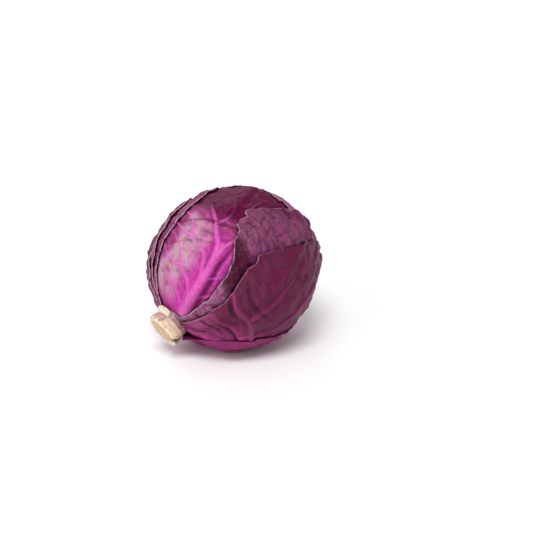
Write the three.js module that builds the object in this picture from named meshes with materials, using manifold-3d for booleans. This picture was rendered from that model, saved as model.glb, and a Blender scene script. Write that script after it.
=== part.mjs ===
// A red cabbage head as it lies after picking: on its side, with the cut stalk low at the -X end.
// Millimetres, +Z up. The origin is on the flat spot that the head rests on.
import * as THREE from "three";
import { mergeVertices } from "three/addons/utils/BufferGeometryUtils.js";
import Module from "manifold-3d";

const wasm = await Module();
wasm.setup();

// Driving dimensions in millimetres, and angles in degrees.
const stalkTilt = 29; // how far the stalk points below level
const bodyPitch = 14; // how far the long axis of the head dips towards the stalk
const bodyHalfAxes = [83, 80.5, 74.5]; // of the whole head: its long axis, across, and upwards
const headCentre = [4, 0, 72.5];
const stalkDimple = 0.1; // share of the radius by which the head sinks in around the stalk
const dimpleSpread = 24; // degrees from the stalk within which it sinks in
const pileSpread = 13; // the heart gives way to the leaves piled over it within about this angle
const blade = 1; // thickness of a leaf away from its midrib
const gap = 1; // air between two leaves
const stalkClearance = 0.4; // around the stalk
const heartClearance = 1; // between the heart and the first leaf, under the gap
const cutFace = 91; // from the centre of the head to the cut face of the stalk
const ribSpread = 9; // degrees off the midrib within which it stands proud
const ribTaper = 0.8; // share of its height that a midrib loses by the tip
const fieldReach = 2.4; // a sample of a leaf's top fills the field this far round it
const spareReach = 1; // added to the reach of a cell, since the field has points only here and there
const bendStart = 0.35; // share of a leaf's length at which a bent midrib starts to turn aside
const stubRadius = 17.3; // of the stalk outside the head
const leafStart = 15; // angle from the stalk at which a leaf leaves it
const leafRows = 12;
const leafColumns = 12;

// The stalk's outline, from the tip of the core inside the head to the cut: radius, distance from the centre.
const stalkOutline = [
  [0, -14],
  [5, -8],
  [9, 14],
  [12.5, 42],
  [14.5, 60],
  [15, 78],
  [16.8, 83],
  [stubRadius, 89],
  [16.4, cutFace],
  [0, cutFace],
];

// Half width of a leaf along its length, as shares of its length and of its greatest half width.
const bladeOutline = [
  [0, 0.2],
  [0.1, 0.3],
  [0.2, 0.44],
  [0.3, 0.62],
  [0.42, 0.82],
  [0.55, 0.95],
  [0.68, 1],
  [0.8, 0.93],
  [0.9, 0.78],
  [1, 0.4],
];

// The leaves in growing order, the innermost first. "turn" is where the midrib runs: the angle around the
// stalk, 0 at the top and 90 towards -Y. "tip" is how far the leaf reaches round the head from the stalk,
// "left" and "right" are its greatest half widths, and "rib" is how far the midrib stands proud near the
// stalk. "bend" turns the midrib aside towards the tip, and "fill" under 1 broadens the leaf's foot.
const leaves = [
  { name: "inner_leaf_1", turn: 100, tip: 150, left: 55, right: 55, rib: 1, finish: "inner" },
  { name: "inner_leaf_2", turn: 238, tip: 155, left: 58, right: 58, rib: 1, finish: "inner" },
  { name: "inner_leaf_3", turn: 330, tip: 150, left: 55, right: 50, rib: 1, finish: "inner" },
  { name: "front_leaf", turn: 40, tip: 150, left: 70, right: 46, rib: 4, bend: -52, finish: "bared" },
  { name: "left_leaf_3", turn: 305, tip: 150, left: 50, right: 38, rib: 1 },
  { name: "crown_leaf", turn: 215, tip: 224, left: 40, right: 34, rib: 1 },
  { name: "left_leaf_2", turn: 292, tip: 138, left: 46, right: 40, rib: 1 },
  { name: "back_leaf", turn: 245, tip: 147, left: 50, right: 45, rib: 2 },
  { name: "right_leaf", turn: 95, tip: 160, left: 61, right: 50, rib: 1 },
  { name: "left_leaf_1", turn: 278, tip: 130, left: 46, right: 42, rib: 1.5 },
  { name: "side_leaf", turn: 120, tip: 145, left: 60, right: 46, rib: 1.5, fill: 0.75 },
  { name: "bottom_leaf", turn: 182, tip: 138, left: 50, right: 52, rib: 7, ribSpread: 12 },
];

// Bases of leaves that were cut away with the stalk: blocks around it, from "low" to "high" along it.
const cutLeafBases = [
  { name: "cut_leaf_base_top", turn: 358, span: 76, outerRadius: 25, low: 81, high: 89 },
  { name: "cut_leaf_base_side", turn: 74, span: 56, outerRadius: 23, low: 81, high: 87.5 },
  { name: "cut_leaf_base_under", turn: 225, span: 100, outerRadius: 21.5, low: 84.5, high: 88.5 },
];

const colours = {
  outer: { color: 0x6b3156, roughness: 0.42, metalness: 0 },
  bared: { color: 0xb5479a, roughness: 0.38, metalness: 0 },
  inner: { color: 0xc9a3c8, roughness: 0.5, metalness: 0 },
  flesh: { color: 0xddc9a8, roughness: 0.85, metalness: 0 },
};

const radians = THREE.MathUtils.degToRad;
const radToDeg = THREE.MathUtils.radToDeg;
const stalkWay = new THREE.Vector3(-Math.cos(radians(stalkTilt)), 0, -Math.sin(radians(stalkTilt)));
const topWay = new THREE.Vector3(-Math.sin(radians(stalkTilt)), 0, Math.cos(radians(stalkTilt)));
const nearWay = new THREE.Vector3(0, -1, 0);
const bodyAxes = [
  new THREE.Vector3(Math.cos(radians(bodyPitch)), 0, Math.sin(radians(bodyPitch))),
  new THREE.Vector3(0, 1, 0),
  new THREE.Vector3(-Math.sin(radians(bodyPitch)), 0, Math.cos(radians(bodyPitch))),
];
const centre = new THREE.Vector3(...headCentre);

// The direction `along` degrees round the head in the plane of the midrib and `aside` degrees off it.
function directionAt(turn, along, aside) {
  const side = new THREE.Vector3()
    .addScaledVector(topWay, Math.cos(radians(turn)))
    .addScaledVector(nearWay, Math.sin(radians(turn)));
  const across = new THREE.Vector3()
    .addScaledVector(topWay, -Math.sin(radians(turn)))
    .addScaledVector(nearWay, Math.cos(radians(turn)));
  return new THREE.Vector3()
    .addScaledVector(stalkWay, Math.cos(radians(along)) * Math.cos(radians(aside)))
    .addScaledVector(side, Math.sin(radians(along)) * Math.cos(radians(aside)))
    .addScaledVector(across, Math.sin(radians(aside)));
}

// Radius of the whole head in a direction: a pitched ellipsoid, drawn in around the stalk.
function headRadius(direction) {
  let sum = 0;
  bodyAxes.forEach((axis, i) => {
    sum += (direction.dot(axis) / bodyHalfAxes[i]) ** 2;
  });
  const fromStalk = radToDeg(direction.angleTo(stalkWay));
  return (1 - stalkDimple * Math.exp(-((fromStalk / dimpleSpread) ** 2))) / Math.sqrt(sum);
}

// The value of a list of [place, value] points at a place, by straight steps.
function valueAt(points, place) {
  const next = points.findIndex((p) => p[0] >= place);
  if (next <= 0) return points[next === 0 ? 0 : points.length - 1][1];
  const [before, after] = [points[next - 1], points[next]];
  return before[1] + ((place - before[0]) / (after[0] - before[0])) * (after[1] - before[1]);
}

// How high everything laid so far stands over the heart, at points spread evenly over all directions.
const fieldPoints = 7000;
const field = Array.from({ length: fieldPoints }, (_, i) => {
  const level = 1 - (2 * i + 1) / fieldPoints;
  const turn = i * Math.PI * (3 - Math.sqrt(5));
  const ring = Math.sqrt(1 - level * level);
  return { way: new THREE.Vector3(ring * Math.cos(turn), ring * Math.sin(turn), level), height: 0 };
});

// The highest point laid so far within an angle of a direction.
function heightUnder(direction, reach) {
  const nearest = Math.cos(radians(reach));
  let height = 0;
  for (const point of field) {
    if (point.height > height && point.way.dot(direction) > nearest) height = point.height;
  }
  return height;
}

// The corner values of a grid cell blended at a place inside it.
function blend(corners, down, over) {
  const shares = [(1 - down) * (1 - over), (1 - down) * over, down * (1 - over), down * over];
  const way = new THREE.Vector3();
  let height = 0;
  corners.forEach((corner, k) => {
    way.addScaledVector(corner.way, shares[k]);
    height += corner.top * shares[k];
  });
  return { way: way.normalize(), height };
}

// Radius of the heart in a direction: what the leaves piled over that side of it leave of the head.
function heartRadius(direction) {
  let [pile, weight] = [0, 0];
  for (const point of field) {
    const off = radToDeg(Math.acos(Math.min(1, point.way.dot(direction))));
    const share = Math.exp(-((off / pileSpread) ** 2));
    pile += point.height * share;
    weight += share;
  }
  return headRadius(direction) - pile / weight;
}

// Lays the top of a leaf into the field, from samples inside each cell of its grid.
function layInField(grid) {
  const steps = 4;
  const [rows, columns] = [grid.length - 1, grid[0].length - 1];
  const nearest = Math.cos(radians(fieldReach));
  for (let i = 0; i <= rows * steps; i++) {
    for (let j = 0; j <= columns * steps; j++) {
      const row = Math.min(Math.floor(i / steps), rows - 1);
      const column = Math.min(Math.floor(j / steps), columns - 1);
      const corners = [0, 1].flatMap((r) => [0, 1].map((c) => grid[row + r][column + c]));
      const sample = blend(corners, i / steps - row, j / steps - column);
      for (const point of field) {
        if (sample.height > point.height && sample.way.dot(point.way) > nearest) point.height = sample.height;
      }
    }
  }
}

// The grid of a leaf: for each corner its direction and the thickness there.
function leafGrid(leaf, rows, columns) {
  const grid = [];
  for (let i = 0; i <= rows; i++) {
    const share = i / rows;
    const bent = (leaf.bend ?? 0) * Math.max(0, (share - bendStart) / (1 - bendStart)) ** 1.6;
    grid.push([]);
    for (let j = 0; j <= columns; j++) {
      const v = (2 * j) / columns - 1;
      const side = v * (v < 0 ? leaf.left : leaf.right) * valueAt(bladeOutline, share ** (leaf.fill ?? 1));
      const first = v * (v < 0 ? leaf.left : leaf.right) * bladeOutline[0][1];
      const from = radToDeg(Math.acos(Math.min(1, Math.cos(radians(leafStart)) / Math.cos(radians(first)))));
      const way = directionAt(leaf.turn, from + share * (leaf.tip - from), side);
      const offMidrib = (side - bent) / (leaf.ribSpread ?? ribSpread);
      const rib = leaf.rib * (1 - ribTaper * share) * Math.exp(-(offMidrib ** 2));
      grid[i].push({ way, thick: blade + rib });
    }
  }
  return grid;
}

// Rests each corner of a grid on the highest point that its cells cover.
function rest(grid) {
  grid.forEach((row, i) =>
    row.forEach((corner, j) => {
      const lines = [grid[i - 1], row, grid[i + 1]].filter(Boolean);
      const near = lines.flatMap((line) => line.slice(Math.max(0, j - 1), j + 2));
      const reach = Math.max(...near.map((other) => radToDeg(corner.way.angleTo(other.way))));
      corner.under = heightUnder(corner.way, reach + spareReach) + gap;
    }),
  );
}

// Evens out the steps in a grid's under side, upwards only, and sets the top.
function settle(grid) {
  for (let pass = 0; pass < 2; pass++) {
    const evened = grid.map((row, i) =>
      row.map((corner, j) => {
        const around = [grid[i - 1]?.[j], grid[i + 1]?.[j], row[j - 1], row[j + 1]].filter(Boolean);
        const mean = around.reduce((sum, other) => sum + other.under, 0) / around.length;
        return Math.max(corner.under, mean);
      }),
    );
    evened.forEach((row, i) => row.forEach((under, j) => (grid[i][j].under = under)));
  }
  grid.flat().forEach((corner) => (corner.top = corner.under + corner.thick));
}

// A closed mesh geometry over a grid: its top, its under side, and the edge between them.
function gridGeometry(grid) {
  const [rows, columns] = [grid.length - 1, grid[0].length - 1];
  const count = (rows + 1) * (columns + 1);
  const points = [];
  const place = (corner, height) =>
    corner.way.clone().multiplyScalar(heartRadius(corner.way) + height).add(centre);
  grid.flat().forEach((corner) => points.push(place(corner, corner.top)));
  grid.flat().forEach((corner) => points.push(place(corner, corner.under)));
  const at = (i, j) => i * (columns + 1) + j;
  const faces = [];
  const addQuad = (a, b, c, d) => faces.push(a, b, c, a, c, d);
  for (let i = 0; i < rows; i++) {
    for (let j = 0; j < columns; j++) {
      const quad = [at(i, j), at(i, j + 1), at(i + 1, j + 1), at(i + 1, j)];
      addQuad(...quad);
      addQuad(...quad.reverse().map((k) => k + count));
    }
  }
  const rim = [];
  for (let j = 0; j < columns; j++) rim.push(at(0, j));
  for (let i = 0; i < rows; i++) rim.push(at(i, columns));
  for (let j = columns; j > 0; j--) rim.push(at(rows, j));
  for (let i = rows; i > 0; i--) rim.push(at(i, 0));
  rim.forEach((k, n) => {
    const next = rim[(n + 1) % rim.length];
    addQuad(k, k + count, next + count, next);
  });
  const geometry = new THREE.BufferGeometry().setFromPoints(points);
  geometry.setIndex(faces);
  return geometry;
}

// Lays one leaf over everything laid before it.
function layLeaf(leaf) {
  const grid = leafGrid(leaf, leafRows, leafColumns);
  rest(grid);
  settle(grid);
  layInField(grid);
  return grid;
}

// A geometry as a manifold solid.
function solidOf(geometry) {
  const bare = new THREE.BufferGeometry().setAttribute("position", geometry.getAttribute("position"));
  bare.setIndex(geometry.getIndex());
  const merged = mergeVertices(bare, 1e-4);
  return new wasm.Manifold(
    new wasm.Mesh({
      numProp: 3,
      vertProperties: merged.getAttribute("position").array,
      triVerts: new Uint32Array(merged.getIndex().array),
    }),
  );
}

// A manifold solid as a geometry.
function geometryOf(solid) {
  const mesh = solid.getMesh();
  const geometry = new THREE.BufferGeometry();
  geometry.setAttribute("position", new THREE.BufferAttribute(mesh.vertProperties, 3));
  geometry.setIndex(new THREE.BufferAttribute(mesh.triVerts, 1));
  return geometry;
}

// The stalk stands along its axis in the head's frame; `grow` widens it, for the hollow it sits in.
function stalkGeometry(grow) {
  const outline = stalkOutline.map(([radius, along]) => new THREE.Vector2(radius && radius + grow, along));
  outline[0].y -= grow;
  outline[outline.length - 1].y += grow;
  const geometry = new THREE.LatheGeometry(outline, 24);
  geometry.applyQuaternion(new THREE.Quaternion().setFromUnitVectors(new THREE.Vector3(0, 1, 0), stalkWay));
  return geometry.translate(...headCentre);
}

// The tightly folded inner leaves, as one body around the stalk's core.
function heartGeometry() {
  const ball = new THREE.SphereGeometry(1, 36, 24);
  const position = ball.getAttribute("position");
  const point = new THREE.Vector3();
  for (let i = 0; i < position.count; i++) {
    point.fromBufferAttribute(position, i).normalize();
    point.multiplyScalar(heartRadius(point) - heartClearance).add(centre);
    position.setXYZ(i, point.x, point.y, point.z);
  }
  return geometryOf(solidOf(ball).subtract(solidOf(stalkGeometry(stalkClearance))));
}

// A block of ring section around the stalk.
function cutBaseGeometry({ turn, span, outerRadius, low, high }) {
  const innerRadius = stubRadius + stalkClearance;
  const [from, to] = [radians(-turn - span / 2), radians(-turn + span / 2)];
  const outline = new THREE.Shape();
  outline.absarc(0, 0, outerRadius, from, to, false);
  outline.absarc(0, 0, innerRadius, to, from, true);
  const extent = { depth: high - low, bevelEnabled: false, curveSegments: 10 };
  const geometry = new THREE.ExtrudeGeometry(outline, extent);
  const frame = new THREE.Matrix4().makeBasis(topWay, nearWay.clone().negate(), stalkWay);
  geometry.applyMatrix4(frame);
  return geometry.translate(...centre.clone().addScaledVector(stalkWay, low).toArray());
}

// The lowest leaf, with its midrib pressed flat where the head rests.
function flattened(geometry) {
  const depth = 50;
  const below = new THREE.BoxGeometry(300, 300, depth).translate(0, 0, -depth / 2);
  return geometryOf(solidOf(geometry).subtract(solidOf(below)));
}

// Adds a named piece in its own finish.
function addPiece(group, name, geometry, finish) {
  const mesh = new THREE.Mesh(geometry, new THREE.MeshStandardMaterial(colours[finish]));
  mesh.name = name;
  group.add(mesh);
}

const head = new THREE.Group();
const grids = leaves.map(layLeaf);
addPiece(head, "stalk", stalkGeometry(0), "flesh");
addPiece(head, "heart", heartGeometry(), "inner");
leaves.forEach((leaf, i) => {
  const whole = gridGeometry(grids[i]);
  const geometry = leaf.name === "bottom_leaf" ? flattened(whole) : whole;
  addPiece(head, leaf.name, geometry, leaf.finish ?? "outer");
});
for (const base of cutLeafBases) addPiece(head, base.name, cutBaseGeometry(base), "flesh");

export default head;
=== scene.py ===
import math
import bpy
import bmesh
import numpy as np
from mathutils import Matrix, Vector


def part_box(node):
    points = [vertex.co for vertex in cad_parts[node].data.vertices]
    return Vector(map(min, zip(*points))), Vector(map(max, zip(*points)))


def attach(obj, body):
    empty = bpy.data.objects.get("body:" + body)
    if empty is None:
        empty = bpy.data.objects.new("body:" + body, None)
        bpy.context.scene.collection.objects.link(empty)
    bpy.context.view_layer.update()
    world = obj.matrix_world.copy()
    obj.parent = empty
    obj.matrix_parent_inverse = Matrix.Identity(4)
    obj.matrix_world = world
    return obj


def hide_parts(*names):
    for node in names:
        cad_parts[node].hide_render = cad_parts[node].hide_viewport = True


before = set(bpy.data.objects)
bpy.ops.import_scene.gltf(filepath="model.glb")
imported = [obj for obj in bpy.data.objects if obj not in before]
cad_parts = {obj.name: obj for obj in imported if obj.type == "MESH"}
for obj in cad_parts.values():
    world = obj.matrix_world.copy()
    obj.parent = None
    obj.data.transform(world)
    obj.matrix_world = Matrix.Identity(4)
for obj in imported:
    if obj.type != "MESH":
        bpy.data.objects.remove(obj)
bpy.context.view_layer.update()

mmPerMetre = 1000

# The whole head. Lengths are in millimetres here and become metres when a mesh is written.
head = {
    "stalkTilt": 29.0,             # degrees that the stalk points below level
    "bodyPitch": 14.0,             # degrees that the long axis dips towards the stalk
    "halfAxes": (83.0, 80.5, 74.5),
    "stalkDimple": 0.075,          # share of the radius lost around the stalk
    "dimpleSpread": 24.0,          # how far the dimple reaches, in degrees from the stalk
    "coreTip": 14.0,               # the core ends this far past the head's centre
    "cutFace": 91.0,               # from the head's centre to the cut of the stalk
    "cutRadius": 16.4,
    "leafThickness": 0.75,
    "leafGap": 0.25,               # air between a leaf and what it lies on
    "leafStart": 12.0,             # degrees from the stalk where leaves leave it
    "floorSoftness": 2.0,          # how gently the underside flattens
    "floorStep": 1.0,              # each leaf stays this much higher off the floor than the next one out
    "settle": 2.2,                 # how far the mean surface sits inside the head's outline
}

tilt = math.radians(head["stalkTilt"])
pitch = math.radians(head["bodyPitch"])
stalkWay = np.array([-math.cos(tilt), 0.0, -math.sin(tilt)])
topWay = np.array([-math.sin(tilt), 0.0, math.cos(tilt)])
nearWay = np.array([0.0, -1.0, 0.0])
bodyAxes = np.array([
    [math.cos(pitch), 0.0, math.sin(pitch)],
    [0.0, 1.0, 0.0],
    [-math.sin(pitch), 0.0, math.cos(pitch)],
])

# The head's centre lies on the stalk's axis, between its core and its cut.
stalkLow, stalkHigh = [np.array(corner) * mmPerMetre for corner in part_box("stalk")]
centre = np.array([
    stalkHigh[0] - head["coreTip"] * math.cos(tilt),
    (stalkLow[1] + stalkHigh[1]) / 2,
    stalkLow[2] + head["cutFace"] * math.sin(tilt) + head["cutRadius"] * math.cos(tilt),
])
print("frame read, head centre", centre.round(1))


def smoothStep(low, high, value):
    share = np.clip((value - low) / (high - low), 0, 1)
    return share * share * (3 - 2 * share)


def latticeNoise(points, seed):
    # smooth noise between -1 and 1 at rows of three coordinates
    cell = np.floor(points).astype(np.int64)
    part = points - cell
    ease = part * part * (3 - 2 * part)
    total = np.zeros(points.shape[:-1])
    for corner in range(8):
        step = np.array([corner & 1, corner >> 1 & 1, corner >> 2 & 1])
        at = cell + step
        mixed = at[..., 0] * 73856093 ^ at[..., 1] * 19349663 ^ at[..., 2] * 83492791 ^ (seed * 2654435 + 97)
        mixed = (mixed ^ (mixed >> 13)) * 1274126177 & 0x7FFFFFFF
        value = (mixed ^ (mixed >> 16)) % 20011 / 10005.0 - 1
        share = np.prod(np.where(step == 1, ease, 1 - ease), axis=-1)
        total += value * share
    return total


def lineNoise(places, seed):
    # smooth noise between -1 and 1 along one line, which repeats in the end
    period = 64
    values = np.random.default_rng(seed).uniform(-1, 1, period)
    cell = np.floor(places).astype(np.int64)
    part = places - cell
    ease = part * part * (3 - 2 * part)
    return values[cell % period] * (1 - ease) + values[(cell + 1) % period] * ease


def shifted(field, down, over):
    # a grid moved by some cells, its border repeated
    rows = np.clip(np.arange(field.shape[0]) + down, 0, field.shape[0] - 1)
    columns = np.clip(np.arange(field.shape[1]) + over, 0, field.shape[1] - 1)
    return field[rows][:, columns]


def soften(field, radius, passes=3):
    steps = range(-radius, radius + 1)
    for _ in range(passes):
        field = sum(shifted(field, step, 0) for step in steps) / len(steps)
        field = sum(shifted(field, 0, step) for step in steps) / len(steps)
    return field


def swell(field, radius):
    # each cell takes the highest value around it
    for _ in range(radius):
        around = [shifted(field, down, over) for down, over in ((1, 0), (-1, 0), (0, 1), (0, -1))]
        field = np.maximum.reduce([field] + around)
    return field


def headRadius(way):
    # an ellipsoid, drawn in at the stalk and pressed flat where it rests
    full = 1 / np.sqrt(sum((way @ axis / half) ** 2 for axis, half in zip(bodyAxes, head["halfAxes"])))
    fromStalk = np.degrees(np.arccos(np.clip(way @ stalkWay, -1, 1)))
    full = full * (1 - head["stalkDimple"] * np.exp(-((fromStalk / head["dimpleSpread"]) ** 2)))
    toFloor = centre[2] / np.maximum(-way[..., 2], 0.05)
    soft = head["floorSoftness"]
    return -soft * np.logaddexp(-full / soft, -toFloor / soft)


def leafWays(turn):
    # away from the stalk in the midrib's plane, and square to that plane
    t = math.radians(turn)
    return topWay * math.cos(t) + nearWay * math.sin(t), -topWay * math.sin(t) + nearWay * math.cos(t)


def wayAt(turn, along, aside):
    # the direction `along` degrees from the stalk in the midrib's plane, and `aside` degrees off it
    a, b = np.radians(along), np.radians(aside)
    side, across = leafWays(turn)
    return (
        (np.cos(a) * np.cos(b))[..., None] * stalkWay
        + (np.sin(a) * np.cos(b))[..., None] * side
        + np.sin(b)[..., None] * across
    )


def anglesOf(turn, way):
    # the other way round: a direction's `along` and `aside`
    side, across = leafWays(turn)
    aside = np.degrees(np.arcsin(np.clip(way @ across, -1, 1)))
    along = np.degrees(np.arctan2(way @ side, way @ stalkWay))
    return np.where(along < -100, along + 360, along), aside


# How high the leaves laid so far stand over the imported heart, on rings round the stalk.
ringStep = 0.5
rings = int(180 / ringStep) + 1
spokes = int(360 / ringStep)
ringAngles = np.radians(np.arange(rings) * ringStep)[:, None] * np.ones(spokes)
spokeAngles = np.radians(np.arange(spokes) * ringStep)[None, :] * np.ones((rings, 1))
pileWays = (
    np.cos(ringAngles)[..., None] * stalkWay
    + (np.sin(ringAngles) * np.cos(spokeAngles))[..., None] * topWay
    + (np.sin(ringAngles) * np.sin(spokeAngles))[..., None] * nearWay
)


def between(field, r, c, down, over, after):
    # a grid's value inside a cell, from the cell's four corners
    return (
        field[r, c] * (1 - down) * (1 - over) + field[r, after] * (1 - down) * over
        + field[r + 1, c] * down * (1 - over) + field[r + 1, after] * down * over
    )


def readPile(field, way):
    ring = np.degrees(np.arccos(np.clip(way @ stalkWay, -1, 1))) / ringStep
    spoke = np.degrees(np.arctan2(way @ nearWay, way @ topWay)) % 360 / ringStep
    r = np.clip(ring.astype(int), 0, rings - 2)
    s = spoke.astype(int) % spokes
    return between(field, r, s, np.clip(ring - r, 0, 1), spoke - np.floor(spoke), (s + 1) % spokes)


# A leaf's outline: half width along its length, both as shares.
outlineShares = np.linspace(0, 1, 401)
outlineWidths = np.interp(
    outlineShares,
    [0, 0.1, 0.2, 0.3, 0.42, 0.55, 0.68, 0.8, 0.9, 0.96, 1],
    [0.14, 0.27, 0.43, 0.62, 0.82, 0.95, 1.0, 0.95, 0.83, 0.68, 0.45],
)
outlineWidths = np.convolve(np.pad(outlineWidths, 20, mode="edge"), np.ones(41) / 41, mode="valid")


def leafWidth(leaf, u, v):
    # half width in degrees on the side of v, with its ruffles
    half = np.where(v < 0, leaf["left"], leaf["right"])
    width = half * np.interp(np.clip(u, 0, 1) ** leaf["fill"], outlineShares, outlineWidths)
    place = u * leaf["ruffles"] + np.where(v < 0, 0, 50)
    wave = lineNoise(place, leaf["seed"]) + 0.3 * lineNoise(place * 2.6, leaf["seed"] + 1)
    return width + leaf["ruffle"] * wave * smoothStep(0.02, 0.2, u)


def leafTip(leaf, v):
    return leaf["tip"] + leaf["ruffle"] * lineNoise(v * leaf["ruffles"] * 0.5 + 90, leaf["seed"] + 2)


def leafStartAt(leaf, v):
    # a leaf's base follows a ring round the stalk
    first = v * np.where(v < 0, leaf["left"], leaf["right"]) * outlineWidths[0]
    share = np.cos(math.radians(head["leafStart"])) / np.cos(np.radians(first))
    return np.degrees(np.arccos(np.minimum(share, 1)))


def leafAngles(leaf, u, v):
    start = leafStartAt(leaf, v)
    along = start + u * (leafTip(leaf, v) - start) - leaf["tipRound"] * v ** 4 * u ** 3
    return along, v * leafWidth(leaf, u, v)


def leafShares(leaf, way):
    # where on a leaf a direction falls
    along, aside = anglesOf(leaf["turn"], way)
    side = np.sign(aside)
    u = (along - head["leafStart"]) / (leaf["tip"] - head["leafStart"])
    for _ in range(7):
        v = np.abs(aside) / leafWidth(leaf, np.clip(u, 0, 1.1), side) * side
        held = np.clip(v, -1.2, 1.2)
        start = leafStartAt(leaf, held)
        bite = leaf["tipRound"] * held ** 4 * np.clip(u, 0, 1.1) ** 3
        u = (along - start + bite) / (leafTip(leaf, held) - start)
    return u, v


degreeLength = 1.35                # mm of leaf to a degree, near enough
marginWidth = 9                    # mm from the edge over which a leaf hugs what lies below, and ruffles
ribGround = 1.7                    # mm of flesh under the drawn ribs, for folds to sink into

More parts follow.
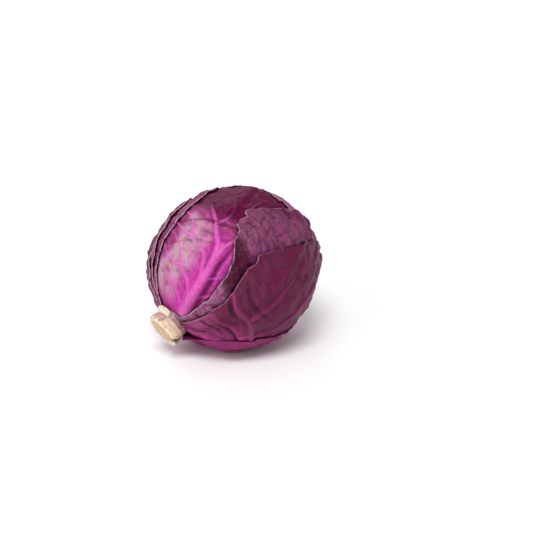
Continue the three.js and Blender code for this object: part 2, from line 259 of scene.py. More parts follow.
# Leaves, from the core outwards. turn is the midrib's bearing round the stalk, tip its end, left and right
# the half widths, all in degrees. A low fill makes the base broad. rib is the midrib's height in mm, and
# bend how far its end swings sideways. laterals are where side veins leave the midrib, and fan says how they
# sweep: backwards below that place, forwards beyond it. pucker is the height of the blisters between veins,
# sunken where it is negative. ruffle is how far the outline waves in degrees, lift how far the margin rises
# in mm, and ruffles how many waves there are.
leaves = {
    "inner_leaf_1": {"turn": 100, "tip": 150, "left": 55, "right": 55, "rib": 1, "seed": 11},
    "inner_leaf_2": {"turn": 238, "tip": 155, "left": 58, "right": 58, "rib": 1, "seed": 12},
    "inner_leaf_3": {"turn": 330, "tip": 150, "left": 55, "right": 50, "rib": 1, "seed": 13},
    "front_leaf": {
        "turn": 40, "tip": 150, "left": 76, "right": 46, "fill": 0.62, "rib": 4.6, "bend": -52, "seed": 21,
        "veinHeight": 0.5, "netHeight": 0.25, "netSize": 16, "pucker": -0.5, "finePucker": 0.2, "ruffle": 1.5,
        "lift": 0.5, "crease": 0.3, "gather": 0.15,
        # ribs, each given as height, half widths at both ends, then the path as (along, aside)
        "ribs": [
            (4.4, (4.2, 2.6), [(8, 5), (25, 5), (44, 4), (58, 2), (70, -1), (78, -3)]),
            (3.0, (1.9, 1.1), [(66, 0), (77, -6), (81, -12), (88, -20), (96, -31), (104, -39)]),
            (2.5, (1.8, 0.9), [(70, 0), (79, -1), (87, 1), (97, 5), (108, 7)]),
            (2.1, (1.7, 1.1), [(52, 2), (60, -3), (66, -9), (67, -22), (66, -42), (64, -60)]),
            (1.8, (1.5, 1.0), [(33, 4), (41, 0), (46, -5), (47, -14), (45, -30), (46, -50)]),
            (1.5, (1.3, 0.9), [(22, 4), (29, -1), (35, -8), (36, -16), (33, -30)]),
            (1.4, (1.2, 0.8), [(67, -22), (74, -30), (80, -42), (84, -60)]),
            (1.0, (1.1, 0.7), [(47, -14), (54, -22), (58, -32), (57, -46)]),
            (1.5, (1.1, 0.7), [(87, -19), (96, -16), (106, -18), (118, -26)]),
            (1.4, (1.1, 0.7), [(97, 5), (108, 16), (118, 22), (130, 24)]),
            (1.4, (1.1, 0.7), [(92, 3), (104, -6), (118, -10), (134, -9)]),
            (1.0, (1.0, 0.7), [(40, 8), (48, 15), (52, 26)]),
            (1.0, (1.0, 0.7), [(56, 6), (63, 13), (70, 26)]),
        ],
        # folds, drawn the same way: depth, half widths, how much painted shade lies in them, then the path
        "folds": [
            (2.8, (1.9, 1.3), 0.7, [(24, 9), (34, 9.5), (44, 9.2), (54, 8), (66, 5), (76, 4), (86, 3)]),
            (1.5, (1.7, 1.3), 0.4, [(66, -52), (78, -36), (84, -28), (88, -20), (93, -9), (97, 4), (99, 14)]),
            (0.6, (1.8, 1.3), 0.1, [(44, -40), (55, -32), (63, -26), (71, -17), (76, -6)]),
            (0.4, (2.6, 2.0), 0.0, [(24, -34), (36, -22), (46, -12), (56, -4)]),
            (0.7, (2.0, 1.6), 0.12, [(76, -36), (78, -20), (81, -10)]),
            (0.4, (2.6, 2.0), 0.0, [(38, -36), (48, -31), (56, -24), (59, -12)]),
        ],
    },
    "left_leaf_3": {
        "turn": 305, "tip": 150, "left": 50, "right": 42, "fill": 0.6, "rib": 1, "seed": 31,
        "pucker": 1.2, "ruffle": 1.6, "ruffles": 13, "lift": 1.1,
    },
    "crown_leaf": {
        "turn": 215, "tip": 215, "left": 42, "right": 36, "rib": 1, "seed": 41, "tipRound": 9,
        "pucker": 1.0, "ruffle": 2.2, "ruffles": 12, "lift": 1.6,
    },
    "left_leaf_2": {
        "turn": 292, "tip": 138, "left": 46, "right": 44, "fill": 0.6, "rib": 1, "seed": 51,
        "pucker": 1.3, "ruffle": 1.8, "ruffles": 14, "lift": 1.2,
    },
    "back_leaf": {
        "turn": 245, "tip": 147, "left": 50, "right": 45, "rib": 2, "seed": 61,
        "pucker": 0.9, "ruffle": 1.8, "ruffles": 10, "lift": 1.5,
    },
    "right_leaf": {
        "turn": 95, "tip": 157, "left": 63, "right": 50, "fill": 1.15, "rib": 1, "seed": 71, "tipRound": 9,
        "pucker": 1.5, "ruffle": 2.8, "ruffles": 12, "lift": 1.9, "netSize": 8,
    },
    "left_leaf_1": {
        "turn": 278, "tip": 130, "left": 46, "right": 42, "fill": 0.6, "rib": 1.5, "seed": 81,
        "pucker": 1.2, "ruffle": 2.0, "ruffles": 13, "lift": 1.4,
    },
    "side_leaf": {
        "turn": 120, "tip": 145, "left": 61, "right": 46, "fill": 0.8, "rib": 1.5, "seed": 91,
        "pucker": 0.5, "ruffle": 2.0, "ruffles": 11, "lift": 1.2, "veinHeight": 0.35, "crease": 0.9,
        "fanRate": 0.014,
        "ribs": [
            (2.2, (2.2, 1.4), [(10, -12), (24, -25), (31, -30), (36, -27), (41, -23), (47, -18), (50, -8)]),
            (3.1, (2.8, 1.8), [(47, -46), (49, -39), (51, -33), (55, -27), (58, -19), (58, -8), (56, 6)]),
            (2.2, (2.4, 1.2), [(8, -4), (22, -8), (34, -5), (48, 4), (64, 14), (82, 24)]),
            (2.0, (2.0, 1.0), [(57, -22), (72, -26), (88, -30), (106, -32)]),
            (2.0, (1.8, 1.0), [(50, -8), (66, -6), (84, -6), (104, -8), (124, -6)]),
            (1.7, (1.6, 0.9), [(58, 12), (70, 24), (80, 38), (84, 50)]),
        ],
        "folds": [
            (1.9, (1.3, 1.0), 0.7, [(20, -23), (28, -21), (33, -18), (39, -11)]),
            (2.2, (1.7, 1.2), 0.8, [(50, -50), (47, -42), (46, -34), (48, -28)]),
            (1.5, (1.1, 0.9), 0.5, [(13, -12), (19, -9), (29, -12)]),
            (1.5, (1.2, 0.9), 0.5, [(36, -23), (42, -17), (46, -10), (48, 0)]),
            (1.8, (2.6, 1.6), 0.5, [(66, -52), (63, -44), (63, -34), (68, -24), (74, -16)]),
        ],
    },
    "bottom_leaf": {
        "turn": 182, "tip": 138, "left": 52, "right": 52, "fill": 0.36, "rib": 5, "ribSpread": 8, "seed": 101,
        "pucker": 0.6, "ruffle": 0.8, "ruffles": 6, "lift": 0.0,
    },
}
plainLeaf = {
    "rows": 190, "fill": 1.0, "bend": 0, "ribSpread": 5.0, "fan": 20, "fanRate": 0.006,
    "laterals": (24, 34, 45, 56, 68, 80, 93, 107, 122, 138), "ribs": (), "folds": (),
    "veinHeight": 0.6, "netHeight": 0.2, "netSize": 9, "pucker": 0.8, "finePucker": 0.3, "crease": 0.8,
    "ruffle": 1.5, "ruffles": 9, "lift": 1.2, "tipRound": 13, "gather": 0.7,
}
for name, leaf in leaves.items():
    leaf.update({key: value for key, value in plainLeaf.items() if key not in leaf})
    if name.startswith("inner"):
        leaf.update(rows=60, pucker=0.2, lift=0.3, crease=0.1)


def cells(places, seed):
    # cracked glass: how much further the second nearest point is than the nearest, and a value for each cell
    cell = np.floor(places).astype(np.int64)
    first = np.full(places.shape[:-1], 9.0)
    second = first.copy()
    tint = np.zeros(places.shape[:-1])
    for a in (-1, 0, 1):
        for b in (-1, 0, 1):
            at = cell + np.array([a, b])
            mixed = (at[..., 0] * 374761393 + at[..., 1] * 668265263 + seed * 1442695) & 0x7FFFFFFF
            mixed = ((mixed ^ (mixed >> 13)) * 1274126177) & 0x7FFFFFFF
            jitter = np.stack([mixed % 1009 / 1009, (mixed >> 10) % 1013 / 1013], axis=-1)
            gone = np.linalg.norm(at + 0.1 + 0.8 * jitter - places, axis=-1)
            nearer = gone < first
            second = np.where(nearer, first, np.minimum(second, gone))
            tint = np.where(nearer, (mixed >> 5) % 997 / 997, tint)
            first = np.where(nearer, gone, first)
    return second - first, tint


def curved(path, steps=8):
    # a smooth line through a few points
    path = np.array(path, dtype=float)
    path = np.vstack([2 * path[0] - path[1], path, 2 * path[-1] - path[-2]])
    made = []
    for a, b, c, d in zip(path, path[1:], path[2:], path[3:]):
        for t in np.arange(steps) / steps:
            bow, twist = 2 * a - 5 * b + 4 * c - d, 3 * b - a - 3 * c + d
            made.append(0.5 * (2 * b + (c - a) * t + bow * t ** 2 + twist * t ** 3))
    return np.array(made + [path[-2]])


def strand(path, widths, along, aside, rooted):
    # how strongly a line shows at each place: a rooted one thins towards its end, another one towards both
    points = curved(path)
    shown = np.zeros_like(along)
    for number, (a, b) in enumerate(zip(points, points[1:])):
        way = b - a
        t = np.clip(((along - a[0]) * way[0] + (aside - a[1]) * way[1]) / (way @ way + 1e-9), 0, 1)
        gone = np.hypot(along - a[0] - t * way[0], aside - a[1] - t * way[1])
        share = (number + t) / (len(points) - 1)
        width = widths[0] + (widths[1] - widths[0]) * share
        ends = 1 - 0.45 * share if rooted else np.sqrt(np.sin(math.pi * np.clip(share, 0.001, 0.999)))
        shown = np.maximum(shown, np.exp(-((gone / width) ** 2)) * ends)
    return shown


def leafNoise(leaf, number, *places):
    # three-way noise of a leaf's own, the third place a constant where a pattern lies flat
    return latticeNoise(np.stack(np.broadcast_arrays(*places), -1), leaf["seed"] + number)


def midribAt(leaf, u):
    return leaf["bend"] * np.maximum(0, (u - 0.35) / 0.65) ** 1.6


def sideVeins(leaf, across, reach):
    vein = np.zeros_like(reach)
    off = np.abs(across)
    stagger = np.where(across < 0, 0, 4.5)
    broad = np.maximum(1.5 - 0.014 * off, 0.6)
    for place in leaf["laterals"]:
        line = np.exp(-(((reach - place - stagger) / broad) ** 2))
        vein = np.maximum(vein, line * (1 - 0.55 * smoothStep(10, 60, off)))
    return vein * smoothStep(0, 5, off)


def drawnLines(leaf, along, aside):
    # the ribs' mask and height, and the folds' painted shade and depth
    drawn, raised, sunk, pressed = (np.zeros_like(along) for _ in range(4))
    for height, widths, path in leaf["ribs"]:
        shown = strand(path, widths, along, aside, True)
        drawn, raised = np.maximum(drawn, shown), np.maximum(raised, height * shown)
    for depth, widths, dark, path in leaf["folds"]:
        shown = strand(path, widths, along, aside, False)
        sunk, pressed = np.maximum(sunk, dark * shown), np.maximum(pressed, depth * shown)
    return drawn, raised, sunk, pressed


def edgeDistance(leaf, u, v):
    # in mm from a leaf's side or tip, whichever is nearer
    toSide = (1 - np.abs(v)) * leafWidth(leaf, u, v) * degreeLength
    return np.minimum(toSide, (1 - u) * (leaf["tip"] - head["leafStart"]) * degreeLength)


def leafRelief(leaf, u, v, along, aside):
    # raised ribs, veins and puckers in mm, and the masks that the colours read
    across = aside - midribAt(leaf, u)
    off = np.abs(across)
    rib = np.exp(-((across / (leaf["ribSpread"] * (1 - 0.62 * np.clip(u, 0, 1)))) ** 2))
    fan = 1 + leaf["fanRate"] * off
    drift = leafNoise(leaf, 6, along * 0.06, aside * 0.06, 0) * 3.0
    reach = (along + leaf["fan"] * (fan - 1) + drift * smoothStep(3, 25, off)) / fan
    vein = sideVeins(leaf, across, reach)
    drawn, raised, sunk, pressed = drawnLines(leaf, along, aside)
    if leaf["ribs"]:
        rib, vein = 0 * rib, 0.4 * vein

    # blisters between a net of veins, with smaller ones inside them
    bend = leafNoise(leaf, 7, along * 0.12, aside * 0.12, 5)
    places = np.stack([reach / leaf["netSize"], across / leaf["netSize"] * 0.8], -1) + 0.35 * bend[..., None]
    crack, tint = cells(places, leaf["seed"])
    fineCrack, _ = cells(places * 2.3 + 7.3, leaf["seed"] + 1)
    net = np.exp(-((crack / 0.07) ** 2))
    fineNet = np.exp(-((fineCrack / 0.1) ** 2))
    puff = smoothStep(0, 0.45, crack) * (0.6 + 0.4 * tint)
    dome = puff * (1 - leaf["finePucker"]) + smoothStep(0, 0.5, fineCrack) * leaf["finePucker"]
    dome = leaf["pucker"] * dome if leaf["pucker"] > 0 else -leaf["pucker"] * (1 - dome)

    # broad swells, creases, and pleats where the base gathers at the stalk
    swellWave = leafNoise(leaf, 10, along * 0.045, aside * 0.045, 9)
    ridge = leafNoise(leaf, 11, along * 0.05, aside * 0.09, 3)
    smallRidge = leafNoise(leaf, 12, along * 0.13, aside * 0.19, 6)
    crease = (1 - np.abs(ridge)) ** 4 + 0.5 * (1 - np.abs(smallRidge)) ** 3
    pleat = (1 - np.abs(leafNoise(leaf, 13, v * 9, along * 0.035, 4))) ** 2
    gather = leaf["gather"] * pleat * (1 - smoothStep(24, 52, along)) * smoothStep(0.0, 0.04, u)

    # the margin clings to the leaf below, apart from its ruffles
    toEdge = edgeDistance(leaf, u, v)
    inside = smoothStep(0, marginWidth, toEdge)
    place = along * leaf["ruffles"]
    half = np.where(v < 0, 0, 40)
    wave = lineNoise(place * 0.022 + half, leaf["seed"] + 8)
    wave += 0.3 * lineNoise(place * 0.05 + half, leaf["seed"] + 9)
    lift = leaf["lift"] * (0.55 + 0.6 * wave) * (1 - inside) * smoothStep(0.03, 0.2, u)
    held = 0.3 + 0.7 * inside
    fade = smoothStep(0.0, 0.12, u)
    relief = held * (
        leaf["rib"] * (1 - 0.8 * u) * rib
        + leaf["veinHeight"] * vein * (1 - rib) * fade
        + leaf["netHeight"] * net * (1 - vein) * fade
        + dome * (1 - 0.8 * rib) * fade
        + leaf["crease"] * crease * (1 - rib) * fade
        + 0.8 * (swellWave + 1) * fade
        + gather
    )
    if leaf["ribs"]:
        ground = held * (raised + ribGround) * smoothStep(-0.01, 0.06, u)
        relief = relief * (1 - np.minimum(0.8, pressed / 2))
        relief += ground * (1 - np.minimum(1, pressed / 2.6) * (1 - 0.6 * drawn))
        rib, vein = np.maximum(rib, drawn * (raised > 2.0)), np.maximum(vein, drawn)
    masks = {
        "rib": rib * (1 - 0.5 * u), "vein": vein, "net": np.maximum(net, 0.5 * fineNet), "panel": puff,
        "edge": 1 - smoothStep(0.2, 1.3, toEdge),
        "sunk": sunk, "along": along, "across": across, "aside": aside,
    }
    return relief + np.maximum(lift, 0), masks


def takeMesh(shape, name):
    # a mesh of the shape, and where its vertices are
    mesh = bpy.data.meshes.new(name)
    shape.to_mesh(mesh)
    shape.free()
    places = np.zeros(len(mesh.vertices) * 3)
    mesh.vertices.foreach_get("co", places)
    return mesh, places.reshape(-1, 3)


def layLeaf(name, leaf, pile):
    # drapes a leaf over the pile and returns what was laid and the pile with it
    shape = bmesh.new()
    bmesh.ops.create_grid(shape, x_segments=leaf["rows"], y_segments=leaf["rows"], size=1)
    mesh, places = takeMesh(shape, name)
    rows = round(len(places) ** 0.5)
    order = np.lexsort((places[:, 0], places[:, 1])).reshape(rows, rows)
    v, u = places[order, 0], (places[order, 1] + 1) / 2
    along, aside = leafAngles(leaf, u, v)
    way = wayAt(leaf["turn"], along, aside)
    under = readPile(pile, way)
    step = max(1, round(rows / 95))
    draped = np.maximum(soften(swell(under, step), step), under)
    relief, masks = leafRelief(leaf, u, v, along, aside)
    top = draped + head["leafGap"] + head["leafThickness"] + relief
    level = soften(top, step)
    # painted shade in the relief's hollows, and painted highlight on its ridges
    masks["cavity"] = smoothStep(0.08, 0.7, level - top)
    masks["crest"] = smoothStep(0.08, 0.6, top - level)

    uAt, vAt = leafShares(leaf, pileWays)
    covered = (uAt >= 0) & (uAt <= 1) & (np.abs(vAt) <= 1)
    down = np.clip(uAt, 0, 1) * (rows - 1)
    over = (np.clip(vAt, -1, 1) + 1) / 2 * (rows - 1)
    r, c = np.minimum(down.astype(int), rows - 2), np.minimum(over.astype(int), rows - 2)
    pile = np.where(covered, np.maximum(between(top, r, c, down - r, over - c, c + 1), pile), pile)
    return {"mesh": mesh, "order": order, "way": way, "top": top, "masks": masks, "covered": covered}, pile


pile = np.zeros((rings, spokes))
laid = {}
for name, leaf in leaves.items():
    laid[name], pile = layLeaf(name, leaf, pile)
print("leaves laid, pile up to", pile.max().round(1), "mm")


def smoothTerms(way):
    # low polynomials of a direction
    most = 10
    powers = [(a, b, c) for a in range(most) for b in range(most - a) for c in range(2) if a + b + c < most]
    return np.stack([way[..., 0] ** a * way[..., 1] ** b * way[..., 2] ** c for a, b, c in powers], axis=-1)


def smoothed(field):
    # the smooth surface that comes nearest to a field, from every few rings and spokes of it
    some = (slice(None, None, 5), slice(None, None, 6))
    weight = np.sqrt(np.sin(ringAngles[some]) + 0.01)[..., None]
    terms = smoothTerms(pileWays[some]) * weight
    wanted = (field[some] * weight[..., 0]).ravel()
    fit = np.linalg.lstsq(terms.reshape(-1, terms.shape[-1]), wanted, rcond=1e-6)[0]
    return smoothTerms(pileWays) @ fit


smoothPile = smoothed(pile)


def surfaceRadius(way, height):
    # the pile's mean height is taken off, so that the outermost leaves meet the head's outline
    settled = head["settle"] * smoothStep(-0.85, -0.2, way[..., 2])
    return headRadius(way) - readPile(smoothPile, way) + height - settled


def ringBlur(field, radius):
    for _ in range(2):
        field = sum(np.roll(field, step, 1) for step in range(-radius, radius + 1)) / (2 * radius + 1)
        field = sum(shifted(field, step, 0) for step in range(-radius, radius + 1)) / (2 * radius + 1)
    return field


def frontZones(m, drift):
    # glow is bare bright leaf, pale its waxy panels; dark darkens it beyond the crown and right of the
    # midrib, and carries the folds' painted crease shade
    along, aside, x = m["along"], m["aside"], m["across"]
    past = along + 0.3 * np.clip(x, 0, 30) + 4 * drift
    leftward = -aside - 0.35 * np.clip(along - 50, 0, 40) + 4 * drift
    bright = (1 - smoothStep(80, 88, past)) * (1 - smoothStep(26, 36, leftward))
    byRib = bright * np.exp(-((x / np.where(x < 0, 13, 24)) ** 2))
    byBase = 0.6 * (1 - smoothStep(16, 34, along)) * np.exp(-((x / 14) ** 2))
    pale = bright * smoothStep(2, 10, -x + 5 * drift) * smoothStep(14, 28, along)
    rightStrip = 0.45 * smoothStep(7, 12, aside) * (1 - smoothStep(62, 76, along))
    dark = np.maximum.reduce([smoothStep(88, 101, past), rightStrip, m["sunk"]])
    return {"glow": np.maximum(byRib, byBase), "pale": pale, "dark": dark}


def rightZones(m, drift):
    # pale at the base and again, more weakly, over the crown; dark is painted shadow across its middle,
    # beside the margin of the leaf laid over it
    along = m["along"] + 5 * drift
    crown = 0.35 * smoothStep(82, 94, along) * (1 - smoothStep(136, 150, along))
    base = 1 - smoothStep(50, 60, along)
    middle = smoothStep(50, 60, along) * (1 - smoothStep(82, 92, along))
    return {"glow": 0 * along, "pale": np.maximum(crown, base), "dark": 0.85 * middle}


def sideZones(m, drift):
    # dark darkens its left side and far end, and carries the folds' painted crease shade
    along, x = m["along"], m["across"]
    left = 0.8 * smoothStep(4, 22, -x + 5 * drift) * smoothStep(20, 40, along)
    far = 0.75 * smoothStep(52, 66, along + 7 * drift)
    return {
        "glow": 0.5 * np.exp(-((x / 9) ** 2)), "pale": 0.8 * smoothStep(-0.3, 0.6, drift),
        "dark": np.maximum.reduce([left, far, m["sunk"]]),
    }


def bottomZones(m, drift):
    glow = 0.7 * np.exp(-((m["across"] / 22) ** 2))
    return {"glow": glow, "pale": 0.2 * smoothStep(0, 1, drift), "dark": 0 * drift}


def outerZones(m, drift):
    return {
        "glow": 0.3 * np.exp(-((m["across"] / 8) ** 2)) * (1 - smoothStep(60, 90, m["along"])),
        "pale": smoothStep(-0.5, 0.7, drift), "dark": 0.5 * smoothStep(0.1, 0.9, -drift),
    }


zones = {
    "front_leaf": frontZones, "right_leaf": rightZones, "side_leaf": sideZones, "bottom_leaf": bottomZones,
}


class Link:
    # a node's output, on which sums may be written
    def __init__(self, finish, socket):
        self.finish, self.socket = finish, socket

    def sum(self, operation, first, second):
        return self.finish.add("ShaderNodeMath", {"operation": operation}, {0: first, 1: second})

    def __add__(self, other):
        return self.sum("ADD", self, other)

    def __sub__(self, other):
        return self.sum("SUBTRACT", self, other)

    def __rsub__(self, other):
        return self.sum("SUBTRACT", other, self)

    def __mul__(self, other):
        return self.sum("MULTIPLY", self, other)

    __radd__ = __add__
    __rmul__ = __mul__


class Finish:
    # the nodes of a material, or of the sky
    def __init__(self, owner):
        self.owner = owner
        owner.use_nodes = True
        self.tree = owner.node_tree
        self.tree.nodes.clear()

    def add(self, kind, settings=None, inputs=None, output=0):
        node = self.tree.nodes.new(kind)
        for key, value in (settings or {}).items():
            if key == "stops":
                while len(node.color_ramp.elements) < len(value):
                    node.color_ramp.elements.new(0.5)
                for element, (place, tone) in zip(node.color_ramp.elements, value):
                    element.position, element.color = place, tone
            else:
                setattr(node, key, value)
        for key, value in (inputs or {}).items():
            if isinstance(value, Link):
                self.tree.links.new(value.socket, node.inputs[key])
            else:
                node.inputs[key].default_value = value
        return Link(self, node.outputs[output]) if len(node.outputs) else node

    def mix(self, share, first, second, blend="MIX"):
        first, second = [(*tone, 1) if isinstance(tone, tuple) else tone for tone in (first, second)]
        return self.add(
            "ShaderNodeMix", {"data_type": "RGBA", "blend_type": blend},
            {"Factor": share, 6: first, 7: second}, 2,
        )

    def mask(self, name):
        return self.add("ShaderNodeAttribute", {"attribute_name": name}, {}, "Fac")

    def noise(self, scale, detail=4, roughness=0.55):
        spot = self.add("ShaderNodeTexCoord", output="Object")
        inputs = {"Vector": spot, "Scale": scale, "Detail": detail, "Roughness": roughness}
        return self.add("ShaderNodeTexNoise", {}, inputs)

    def spread(self, value, low, high):
        # a mask that rises from 0 to 1 between two values
        return self.add(
            "ShaderNodeMapRange", {"interpolation_type": "SMOOTHSTEP"},
            {"Value": value, "From Min": low, "From Max": high},
        )

    def close(self, colour, roughness, relief, distance, strength=0.6, **fixed):
        # the shader, with a bump from the relief and any fixed values by name
        bump = {"Height": relief, "Distance": distance, "Strength": strength}
        normal = self.add("ShaderNodeBump", {}, bump)
        inputs = {"Base Color": colour, "Roughness": roughness, "Normal": normal}
        inputs.update({key.replace("_", " "): value for key, value in fixed.items()})
        shader = self.add("ShaderNodeBsdfPrincipled", {}, inputs)
        self.add("ShaderNodeOutputMaterial", {}, {"Surface": shader})
        return self.owner


def newFinish(name):
    return Finish(bpy.data.materials.new(name + "Finish"))


# Leaf colours. Each leaf starts from the plain ones and changes what differs.
leafLook = {
    "body": (0.20, 0.032, 0.105),
    "pale": (0.33, 0.12, 0.215),
    "glow": (0.36, 0.03, 0.21),
    "dark": (0.06, 0.006, 0.025),
    "vein": (0.26, 0.04, 0.14),
    "net": (0.13, 0.015, 0.06),
    "rib": (0.38, 0.06, 0.23),
    "edge": (0.50, 0.34, 0.36),
    "shade": (0.035, 0.006, 0.02),
    "violet": (0.15, 0.03, 0.12),
    "violetShare": 0.35,
    "paleShare": 0.45,
    "netShare": 0.55,
    "veinShare": 0.75,
    "paintedRidgeHighlightShare": 0.4,
    "paintedHollowShadeShare": 0.5,
    "shadeShare": 0.75,
    "roughness": 0.42,
}
leafLooks = {
    "front_leaf": {
        "body": (0.26, 0.035, 0.13), "pale": (0.49, 0.31, 0.37), "glow": (0.47, 0.035, 0.29),
        "dark": (0.10, 0.002, 0.036), "vein": (0.62, 0.10, 0.42), "net": (0.46, 0.05, 0.29),
        "rib": (0.62, 0.12, 0.41), "violet": (0.42, 0.05, 0.38), "violetShare": 0.35, "paleShare": 0.85,
        "netShare": 0.2, "roughness": 0.36, "paintedHollowShadeShare": 0.45, "paintedRidgeHighlightShare": 0.5,
    },
    "crown_leaf": {"body": (0.28, 0.055, 0.16), "pale": (0.44, 0.18, 0.32), "vein": (0.40, 0.10, 0.26)},
    "right_leaf": {
        "body": (0.13, 0.018, 0.065), "pale": (0.36, 0.15, 0.25), "dark": (0.035, 0.001, 0.009),
        "net": (0.09, 0.008, 0.04), "edge": (0.46, 0.28, 0.33), "paleShare": 0.75, "netShare": 0.8,
    },
    "side_leaf": {
        "body": (0.25, 0.038, 0.115), "pale": (0.25, 0.11, 0.155), "glow": (0.30, 0.026, 0.15),
        "dark": (0.08, 0.006, 0.028), "vein": (0.36, 0.034, 0.20), "net": (0.11, 0.01, 0.045),
        "rib": (0.40, 0.04, 0.23), "edge": (0.28, 0.12, 0.17), "violetShare": 0.2, "veinShare": 0.9,
        "netShare": 0.3, "roughness": 0.34, "shadeShare": 0.35,
    },
    "bottom_leaf": {
        "body": (0.27, 0.022, 0.125), "glow": (0.37, 0.024, 0.22), "vein": (0.33, 0.024, 0.17),
        "rib": (0.38, 0.03, 0.22), "edge": (0.24, 0.05, 0.13), "violetShare": 0.15, "netShare": 0.35,
        "roughness": 0.38,
    },
}


def leafFinish(name):
    look = {**leafLook, **leafLooks.get(name, {})}
    finish = newFinish(name)
    broad, fine, grain = finish.noise(70, 5), finish.noise(420, 5), finish.noise(1500, 3)
    light = 1 - 0.92 * finish.mask("dark")
    bloom = finish.mask("pale") * finish.spread(broad, 0.2, 0.55)
    # each coat covers what lies under it, by its share
    coats = [
        (bloom * (look["paleShare"] + (1 - look["paleShare"]) * finish.mask("panel")), "pale"),
        (finish.mask("glow"), "glow"),
        (finish.spread(finish.noise(38, 2), 0.5, 0.66) * look["violetShare"], "violet"),
        (finish.mask("dark"), "dark"),
        (finish.mask("net") * look["netShare"] * light * finish.spread(fine, 0.2, 0.7), "net"),
        (finish.mask("vein") * look["veinShare"] * light, "vein"),
        (finish.mask("rib") * light, "rib"),
        (finish.mask("edge") * finish.spread(fine, 0.3, 0.55), "edge"),
        # painted highlight on the relief's ridges, in the vein colour, then painted shade in its hollows and
        # along the edges of leaves laid later
        (finish.mask("crest") * look["paintedRidgeHighlightShare"] * light, "vein"),
        (finish.mask("cavity") * look["paintedHollowShadeShare"], "shade"),
        (finish.mask("shade") * look["shadeShare"], "shade"),
    ]
    colour = look["body"]
    for share, tone in coats:
        colour = finish.mix(share, colour, look[tone])
    stops = [(0.25, (0.72, 0.70, 0.72, 1)), (0.75, (1.15, 1.12, 1.15, 1))]
    mottle = finish.add("ShaderNodeValToRGB", {"stops": stops}, {"Fac": fine})
    colour = finish.mix(1.0, colour, mottle, "MULTIPLY")
    roughness = look["roughness"] + 0.22 * (broad - 0.5) + 0.15 * (fine - 0.5)
    return finish.close(
        colour, roughness, 0.6 * fine + 0.4 * grain, 0.0006, 0.7,
        Specular_IOR_Level=0.05, Coat_Weight=0.05, Coat_Roughness=0.16,
    )


def setMask(mesh, name, values):
    mask = mesh.attributes.new(name, "FLOAT", "POINT")
    mask.data.foreach_set("value", np.asarray(values, dtype=np.float32).ravel())


def finished(piece, node, finish):
    bpy.context.scene.collection.objects.link(piece)
    for face in piece.data.polygons:
        face.use_smooth = True
    piece.data.materials.append(finish)
    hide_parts(node)
    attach(piece, "root")


def placeMesh(mesh, places):
    mesh.vertices.foreach_set("co", (places / mmPerMetre).ravel())
    mesh.update()


names = list(laid)


def finishLeaf(number, name):
    # moves a laid leaf to its place on the head, writes its masks and gives it a wall
    leaf, mesh, way, m = leaves[name], laid[name]["mesh"], laid[name]["way"], laid[name]["masks"]
    vertexOrder = np.argsort(laid[name]["order"].ravel())
    spot = centre + surfaceRadius(way, laid[name]["top"])[..., None] * way
    spot[..., 2] = np.maximum(spot[..., 2], (len(names) - 1 - number) * head["floorStep"])
    placeMesh(mesh, spot.reshape(-1, 3)[vertexOrder])

    # leaves laid later shade this one along their edges
    over = np.zeros_like(pile)
    for later in names[number + 1:]:
        over = np.maximum(over, laid[later]["covered"])
    masks = {key: m[key] for key in ("rib", "vein", "net", "edge", "panel", "cavity", "crest")}
    masks["shade"] = smoothStep(0.08, 0.5, readPile(ringBlur(over, 4), way))
    drift = latticeNoise(spot / 22, leaf["seed"] + 20) + 0.5 * latticeNoise(spot / 9, leaf["seed"] + 21)
    masks.update(zones.get(name, outerZones)(m, drift))
    for key, values in masks.items():
        setMask(mesh, key, np.clip(values, 0, 1).ravel()[vertexOrder])

    piece = bpy.data.objects.new(name + "_skin", mesh)
    wall = piece.modifiers.new("wall", "SOLIDIFY")
    wall.thickness, wall.offset = head["leafThickness"] / mmPerMetre, -1
    finished(piece, name, leafFinish(name))


for number, name in enumerate(names):
    finishLeaf(number, name)
print("leaves made")

# The stalk. Its outline is the radius and the distance from the head's centre, in mm, and notchTurn a bearing
# round its axis in degrees.
stalk = {
    "outline": [
        (0, -14), (5, -8), (9, 14), (12.5, 42), (14.5, 60), (14.8, 76), (15.2, 80), (16.6, 84), (17.4, 87.5),
        (17.2, 89.6), (16.4, 90.8), (15.4, 91.1), (0, 91.1),
    ],
    "sides": 160, "step": 0.7,
    "lumps": 0.8, "rough": 0.5,    # how far its side stands in and out
    "faceWaves": 0.5, "sawMarks": 0.35, "pits": 0.9,
    "notchTurn": 112, "notchWidth": 9, "notchDepth": 3.2, "notchSink": 1.2,
    "pith": (0.66, 0.47, 0.28), "skin": (0.36, 0.19, 0.20),
}
# Bases of leaves that were cut off. turn and span are bearings round the stalk in degrees, the rest in mm.
cutBases = {
    "cut_leaf_base_top": {
        "turn": 357, "span": 66, "inner": 14.6, "outer": 20.8,
        "low": 76.5, "high": 82.5, "seed": 3, "tan": 0.0,
    },
    "cut_leaf_base_side": {
        "turn": 68, "span": 78, "inner": 14.9, "outer": 20.6,
        "low": 81.5, "high": 90.6, "seed": 4, "tan": 0.9,
    },
    "cut_leaf_base_under": {
        "turn": 225, "span": 100, "inner": 15.2, "outer": 20.8,
        "low": 80.5, "high": 87.0, "seed": 5, "tan": 0.4,
    },
}
cutBaseShape = {
    "cuts": 23, "corner": 0.3,     # lines each way on a side, and the share of it that is rounded
    "thinning": 0.55,              # share of its thickness lost at both ends
    "droop": 1.6, "rough": 0.6, "cutRough": 0.5,
}
# pith and skin of a freshly cut base, and of one that has dried tan
cutBaseLooks = [((0.80, 0.66, 0.52), (0.74, 0.60, 0.52)), ((0.68, 0.50, 0.32), (0.60, 0.42, 0.28))]


def stalkPlace(radius, turn, along):
    t = np.radians(turn)
    return (
        centre + along[..., None] * stalkWay
        + (radius * np.cos(t))[..., None] * topWay + (radius * np.sin(t))[..., None] * nearWay
    )


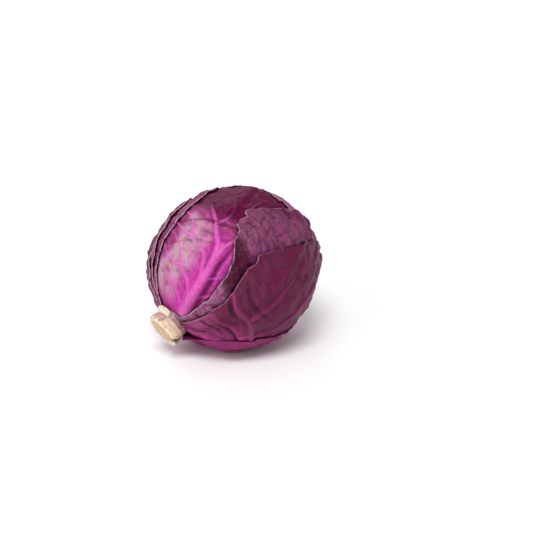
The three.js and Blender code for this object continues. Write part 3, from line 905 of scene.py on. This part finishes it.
def stalkFinish(name, tan, skin):
    # pale pith with brown flecks where it was cut, purple skin where it was not
    finish = newFinish(name)
    broad, fine, grain = finish.noise(150, 5), finish.noise(900, 6, 0.7), finish.noise(2400, 3)
    flecks = finish.spread(finish.noise(430, 6, 0.7), 0.5, 0.58) * 0.7
    pith = finish.mix(finish.spread(broad, 0.3, 0.7), tan, (0.74, 0.56, 0.36))
    pith = finish.mix(flecks, pith, (0.33, 0.21, 0.09))
    pith = finish.mix(finish.mask("rim") * 0.8, pith, (0.86, 0.74, 0.62))
    side = finish.mix(finish.spread(broad, 0.35, 0.65), skin, (0.52, 0.36, 0.33))
    colour = finish.mix(finish.mask("cut"), side, pith)
    # darker, near black, in the notch in the rim
    colour = finish.mix(finish.mask("stain") * 0.85, colour, (0.05, 0.025, 0.02))
    relief = 0.5 * fine + 0.5 * grain
    return finish.close(colour, 0.62 + 0.2 * (fine - 0.5), relief, 0.0008, 0.8, Specular_IOR_Level=0.3)


def turnedShape(outline, step, sides):
    # the outline, in even steps, turned round the axis
    reached = np.cumsum([0] + [math.dist(a, b) for a, b in zip(outline, outline[1:])])
    points = np.linspace(0, reached[-1], int(reached[-1] / step))
    radii, alongs = [np.interp(points, reached, values) for values in zip(*outline)]
    shape = bmesh.new()
    chain = [shape.verts.new((radius, 0, along)) for radius, along in zip(radii, alongs)]
    edges = [shape.edges.new(pair) for pair in zip(chain, chain[1:])]
    bmesh.ops.spin(
        shape, geom=chain + edges, cent=(0, 0, 0), axis=(0, 0, 1), angle=math.tau,
        steps=sides, use_merge=True,
    )
    bmesh.ops.remove_doubles(shape, verts=shape.verts, dist=0.001)
    bmesh.ops.recalc_face_normals(shape, faces=shape.faces)
    return shape


def makeStalk():
    mesh, local = takeMesh(turnedShape(stalk["outline"], stalk["step"], stalk["sides"]), "stalk_skin")
    radius, along = np.hypot(local[:, 0], local[:, 1]), local[:, 2]
    turn = np.degrees(np.arctan2(local[:, 1], local[:, 0])) % 360
    onFace = smoothStep(90.2, 90.9, along)
    sidePlace = np.stack([np.cos(np.radians(turn)) * 3, np.sin(np.radians(turn)) * 3, along * 0.12], -1)
    radius = radius + np.minimum(radius / 10, 1) * smoothStep(74, 84, along) * (
        stalk["lumps"] * latticeNoise(sidePlace, 5) + stalk["rough"] * latticeNoise(sidePlace * 3.1, 6)
    )

    # a notch in the rim
    gap = np.abs((turn - stalk["notchTurn"] + 180) % 360 - 180)
    notch = np.exp(-((gap / stalk["notchWidth"]) ** 2))
    notch = notch * smoothStep(7, 16, radius) * smoothStep(80, 88, along)
    radius = radius - stalk["notchDepth"] * notch

    # the cut is wavy, with saw marks and pits
    facePlace = np.stack([local[:, 0] * 0.22, local[:, 1] * 0.22, along * 0 + 2], -1)
    along = along + onFace * (
        stalk["faceWaves"] * latticeNoise(facePlace, 7) + stalk["sawMarks"] * latticeNoise(facePlace * 4, 8)
        - stalk["pits"] * smoothStep(0.2, 0.9, latticeNoise(facePlace * 1.3, 9)) - stalk["notchSink"] * notch
    )
    placeMesh(mesh, stalkPlace(radius, turn, along))
    ragged = smoothStep(86.5, 88.5, along) * smoothStep(0, 0.4, latticeNoise(sidePlace * 2, 12) + 0.3)
    setMask(mesh, "cut", np.maximum(onFace, ragged))
    setMask(mesh, "rim", smoothStep(12.5, 15.5, radius) * smoothStep(88.5, 90.4, along))
    setMask(mesh, "stain", np.clip(notch * 1.3, 0, 1))
    piece = bpy.data.objects.new("stalk_skin", mesh)
    finished(piece, "stalk", stalkFinish("stalk", stalk["pith"], stalk["skin"]))


def makeCutBase(name, base):
    shape = bmesh.new()
    bmesh.ops.create_cube(shape, size=2)
    bmesh.ops.subdivide_edges(shape, edges=shape.edges, cuts=cutBaseShape["cuts"], use_grid_fill=True)
    mesh, local = takeMesh(shape, name + "_flesh")

    # corners rounded, ends thinned, and the whole wrapped round the stalk
    core = np.clip(local, cutBaseShape["corner"] - 1, 1 - cutBaseShape["corner"])
    away = local - core
    local = core + cutBaseShape["corner"] * away / np.linalg.norm(away, axis=1, keepdims=True)
    turn = base["turn"] + local[:, 0] * base["span"] / 2
    thin = 1 - cutBaseShape["thinning"] * np.abs(local[:, 0]) ** 2.2
    out, rise = (local[:, 1] + 1) / 2, (local[:, 2] + 1) / 2
    radius = base["inner"] + out * (base["outer"] - base["inner"]) * thin
    place = np.stack([turn * 0.09, radius * 0.3, rise * 2], -1)
    radius += cutBaseShape["rough"] * latticeNoise(place, base["seed"]) * out
    along = base["low"] + rise * (base["high"] - base["low"]) * (0.7 + 0.3 * thin)
    along -= cutBaseShape["droop"] * out * rise
    along += cutBaseShape["cutRough"] * latticeNoise(place * 1.7, base["seed"] + 30) * rise
    placeMesh(mesh, stalkPlace(radius, turn, along))
    setMask(mesh, "cut", smoothStep(0.55, 0.8, rise + 0.12 * latticeNoise(place * 2, base["seed"] + 31)))
    setMask(mesh, "rim", smoothStep(0.75, 0.95, rise) * (1 - base["tan"]))
    setMask(mesh, "stain", 0 * rise)
    piece = bpy.data.objects.new(name + "_flesh", mesh)
    pith, skin = cutBaseLooks[base["tan"] >= 0.5]
    finished(piece, name, stalkFinish(name, pith, skin))


makeStalk()
for name, base in cutBases.items():
    makeCutBase(name, base)
print("stalk and cut bases made")

# The heart shows only between leaves, so it keeps its own shape.
heartFinish = newFinish("heart")
heartTone = heartFinish.mix(heartFinish.noise(120, 5), (0.10, 0.010, 0.05), (0.22, 0.05, 0.13))
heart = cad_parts["heart"]
heart.data.materials.clear()
heart.data.materials.append(heartFinish.close(heartTone, 0.5, heartFinish.noise(600, 4), 0.0006))
heartWays = np.array([vertex.co for vertex in heart.data.vertices]) * mmPerMetre - centre
heartReach = np.linalg.norm(heartWays, axis=1)
heartWays /= heartReach[:, None]
spare = surfaceRadius(heartWays, readPile(pile, heartWays)) - heartReach
print("the heart stays at least", spare.min().round(1), "mm under the outermost leaves")

# The camera looks at the stalk end from the front left and a little above. Its angles are in degrees, its
# lens in mm, and its distance and the shift of its aim from the head's centre in metres.
lens = {
    "azimuth": -37.0, "elevation": 22.0, "length": 85.0, "distance": 1.223, "right": 0.0429, "up": -0.0119,
}
turned, raised = math.radians(lens["azimuth"]), math.radians(lens["elevation"])
back = Vector((math.sin(turned) * math.cos(raised), -math.cos(turned) * math.cos(raised), math.sin(raised)))
rightWay = Vector((math.cos(turned), math.sin(turned), 0))
upWay = back.cross(rightWay)
camera = bpy.data.objects.new("camera", bpy.data.cameras.new("camera"))
camera.data.lens, camera.data.sensor_width = lens["length"], 36
aim = Vector(centre / mmPerMetre) + rightWay * lens["right"] + upWay * lens["up"]
camera.location = aim + back * lens["distance"]
camera.rotation_mode = "QUATERNION"
camera.rotation_quaternion = (-back).to_track_quat("-Z", "Y")
bpy.context.scene.collection.objects.link(camera)
bpy.context.scene.camera = camera
bpy.context.scene.view_settings.view_transform = "Standard"

floorShape = bmesh.new()
bmesh.ops.create_grid(floorShape, x_segments=1, y_segments=1, size=8)
floorMesh, _ = takeMesh(floorShape, "floor")
floor = bpy.data.objects.new("floor", floorMesh)
bpy.context.scene.collection.objects.link(floor)
paper = newFinish("paper")
paperTone = paper.mix(paper.noise(6, 2), (0.90, 0.90, 0.90), (0.93, 0.93, 0.93))
floorMesh.materials.append(paper.close(paperTone, 0.8, paper.noise(900, 2), 0.0001, 0.2))

# Where each lamp stands in metres. A sun's size is an angle in radians, an area's size its side in metres.
lampAim = Vector((0, 0, 0.07))
lamps = {
    "keyLamp": {"kind": "SUN", "from": (-0.7, -0.75, 1.6), "size": 0.45, "power": 2.0},
    "sideLamp": {"kind": "AREA", "from": (-1.3, -0.2, 0.9), "size": 0.8, "power": 7},
    "backLamp": {"kind": "AREA", "from": (0.5, 1.4, 1.3), "size": 1.2, "power": 6},
}
for name, lamp in lamps.items():
    light = bpy.data.lights.new(name, lamp["kind"])
    light.energy = lamp["power"]
    if lamp["kind"] == "SUN":
        light.angle = lamp["size"]
    else:
        light.size = lamp["size"]
    holder = bpy.data.objects.new(name, light)
    holder.location = lamp["from"]
    holder.rotation_mode = "QUATERNION"
    holder.rotation_quaternion = (lampAim - Vector(lamp["from"])).to_track_quat("-Z", "Y")
    bpy.context.scene.collection.objects.link(holder)

# The sky lights the scene more softly than the camera sees it.
skyPower = {"light": 0.5, "seen": 1.0}
white = (1, 1, 1, 1)
sky = Finish(bpy.data.worlds.new("sky"))
skyLight = sky.add("ShaderNodeBackground", {}, {"Color": white, "Strength": skyPower["light"]})
skyWall = sky.add("ShaderNodeBackground", {}, {"Color": white, "Strength": skyPower["seen"]})
seenDirectly = sky.add("ShaderNodeLightPath", output="Is Camera Ray")
skyMix = sky.add("ShaderNodeMixShader", {}, {"Fac": seenDirectly, 1: skyLight, 2: skyWall})
sky.add("ShaderNodeOutputWorld", {}, {"Surface": skyMix})
bpy.context.scene.world = sky.owner
print("camera, floor and lamps placed")
